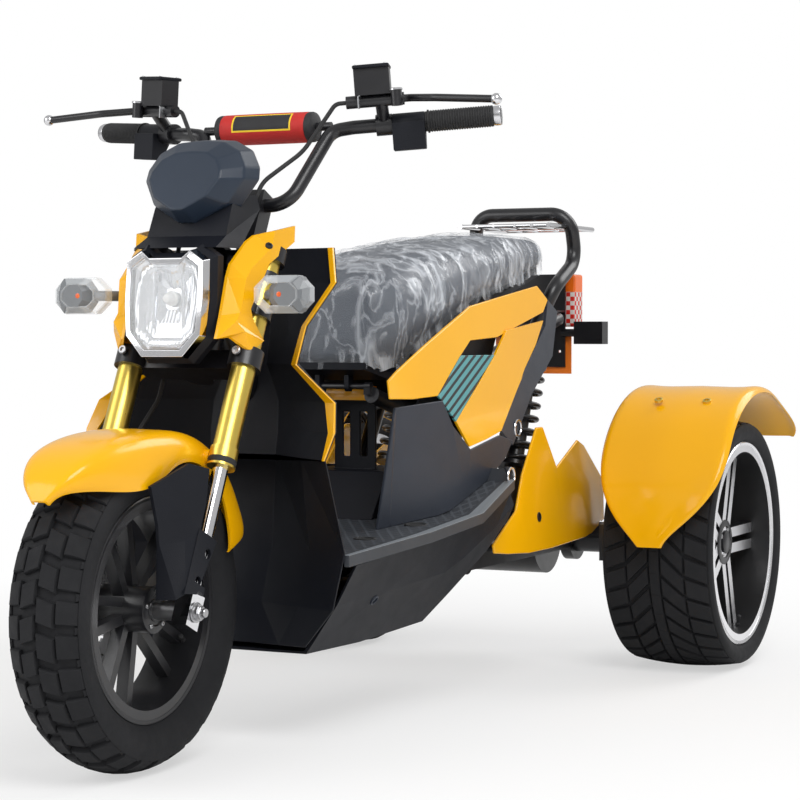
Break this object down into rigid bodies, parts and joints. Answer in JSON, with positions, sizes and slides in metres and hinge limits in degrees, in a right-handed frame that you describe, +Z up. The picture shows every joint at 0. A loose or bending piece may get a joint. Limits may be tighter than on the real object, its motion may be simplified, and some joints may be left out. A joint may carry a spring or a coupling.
{
  "type": "delta trike scooter",
  "caption": "Step-through delta trike scooter with a steered front wheel, wide fendered rear wheels, a lifting seat, a tall handlebar and a rear grab hoop with a rack.",
  "frame": {"origin": "floor level, below the middle of the overall length and width", "axes": "+X forward, +Y to the vehicle's left, +Z up"},
  "size_m": [1.8963, 1.0694, 1.0608],
  "materials": {
    "tyre": "matt",
    "black_alloy": "satin black",
    "silver_alloy": "machined and black",
    "steel": "ground",
    "gold_metal": "satin gold",
    "chrome": "polished",
    "black_metal": "satin black",
    "black_plastic": "grained black",
    "grey_plastic": "gunmetal",
    "yellow_plastic": "gloss yellow",
    "teal_plastic": "satin teal",
    "red_fabric": "woven cover",
    "rubber": "matt",
    "clear_lens": "clear",
    "signal_plastic": "clear lens over grey",
    "battery_case": "matt",
    "seat_leather": "dark blue-grey under clear film",
    "red_lens": "red and orange lens",
    "orange_plate": "blank orange"
  },
  "bodies": {
    "chassis": {"main_frame": "black_metal", "leg_shield": "black_plastic", "leg_shield_trim": "yellow_plastic", "shield_rear_cover": "black_plastic", "front_apron": "black_plastic", "floorboard": "black_plastic", "belly_pan": "black_plastic", "centre_tunnel": "black_plastic", "battery": "battery_case", "side_panels": "grey_plastic", "upper_side_strips": "yellow_plastic", "vee_panels": "yellow_plastic", "side_grilles": "teal_plastic", "side_inner_panels": "black_plastic", "tail_side_frames": "grey_plastic", "seat_tub": "black_plastic", "drive_axle": "black_metal", "trailing_arms": "black_metal", "rear_shocks": "black_metal", "rear_brake_calipers": "black_alloy", "axle_covers": "yellow_plastic", "rear_fenders": "yellow_plastic", "fender_struts": "black_metal", "grab_hoop": "black_metal", "rear_rack": "chrome", "tail_lamp": "red_lens", "number_plate": "orange_plate", "tail_bracket": "black_metal"},
    "steering": {"fork_upper_tubes": "gold_metal", "fork_inner_tubes": "chrome", "front_axle": "steel", "fork_yokes": "black_metal", "fork_shrouds": "black_plastic", "front_brake_caliper": "black_alloy", "handlebar": "black_metal", "crossbar_pad": "red_fabric", "grips": "rubber", "switch_boxes": "black_plastic", "brake_levers": "black_metal", "brake_hoses": "rubber", "cowl_wings": "yellow_plastic", "headlamp_bezel": "chrome", "headlamp_lens": "clear_lens", "headlamp_cowl": "black_plastic", "instrument_cowl": "black_plastic", "lamp_brackets": "black_metal", "front_signals": "signal_plastic", "front_fender": "yellow_plastic"},
    "front_wheel": {"front_tyre": "tyre", "front_rim": "black_alloy", "front_brake_disc": "steel"},
    "rear_wheel_left": {"rear_tyre_left": "tyre", "rear_rim_left": "silver_alloy"},
    "rear_wheel_right": {"rear_tyre_right": "tyre", "rear_rim_right": "silver_alloy"},
    "seat": {"seat_cushion": "seat_leather", "seat_pan": "black_plastic"}
  },
  "joints": [
    {"name": "steering_turn", "type": "hinge", "parent": "chassis", "child": "steering", "pos_m": [0.6736, 0, 0.2238], "axis": [-0.4258, 0, 0.9048], "range_deg": [-38, 38]},
    {"name": "front_wheel_roll", "type": "hinge", "parent": "steering", "child": "front_wheel", "pos_m": [0.708, 0, 0.24], "axis": [0, 1, 0], "continuous": true},
    {"name": "rear_wheel_left_roll", "type": "hinge", "parent": "chassis", "child": "rear_wheel_left", "pos_m": [-0.702, 0.3955, 0.24], "axis": [0, 1, 0], "continuous": true},
    {"name": "rear_wheel_right_roll", "type": "hinge", "parent": "chassis", "child": "rear_wheel_right", "pos_m": [-0.702, -0.3955, 0.24], "axis": [0, 1, 0], "continuous": true},
    {"name": "seat_lift", "type": "hinge", "parent": "chassis", "child": "seat", "pos_m": [0.056, 0, 0.552], "axis": [0, 1, 0], "range_deg": [0, 60]}
  ]
}
